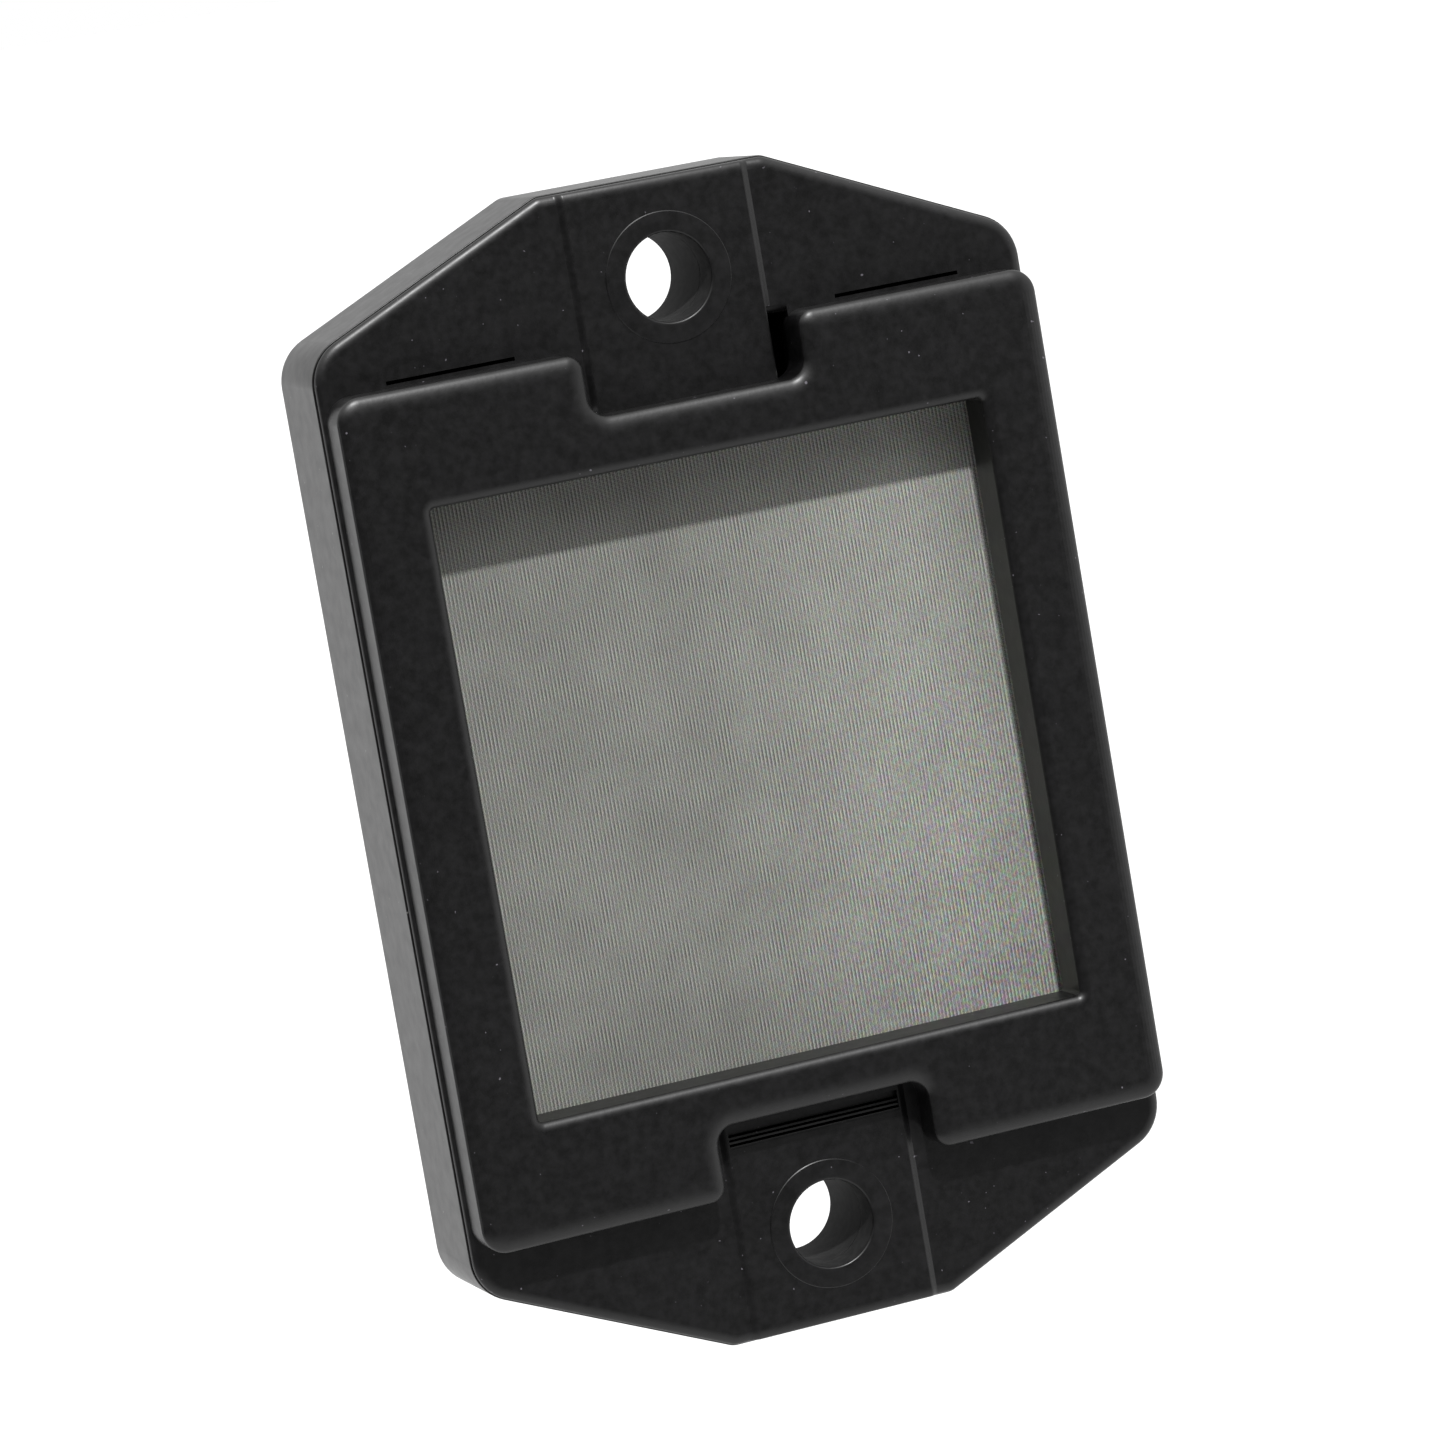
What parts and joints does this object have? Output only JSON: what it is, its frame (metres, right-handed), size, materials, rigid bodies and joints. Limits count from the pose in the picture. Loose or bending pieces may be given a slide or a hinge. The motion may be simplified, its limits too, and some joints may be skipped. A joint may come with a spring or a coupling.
{
  "type": "microprism retroreflector",
  "caption": "Flat screw-on retroreflector for photoelectric sensors: black octagonal housing with a raised frame round a microprism sheet and a screw hole at each end.",
  "frame": {"origin": "centre of the flat mounting face at the back", "axes": "+Z along the long axis, through both screw holes; the window looks along -Y; +X to the right seen from the front"},
  "size_m": [0.0388, 0.0086, 0.0604],
  "materials": {
    "black_rear": "fine satin, moulded ABS",
    "black_front": "fine satin, moulded ABS",
    "prism_grey": "metallised microprism film, grey with a faint iridescence",
    "carrier_white": "plain moulded plate, hidden inside"
  },
  "bodies": {
    "root": {"rear_shell": "black_rear", "front_cover": "black_front", "prism_sheet": "prism_grey", "sheet_carrier": "carrier_white"}
  },
  "joints": []
}
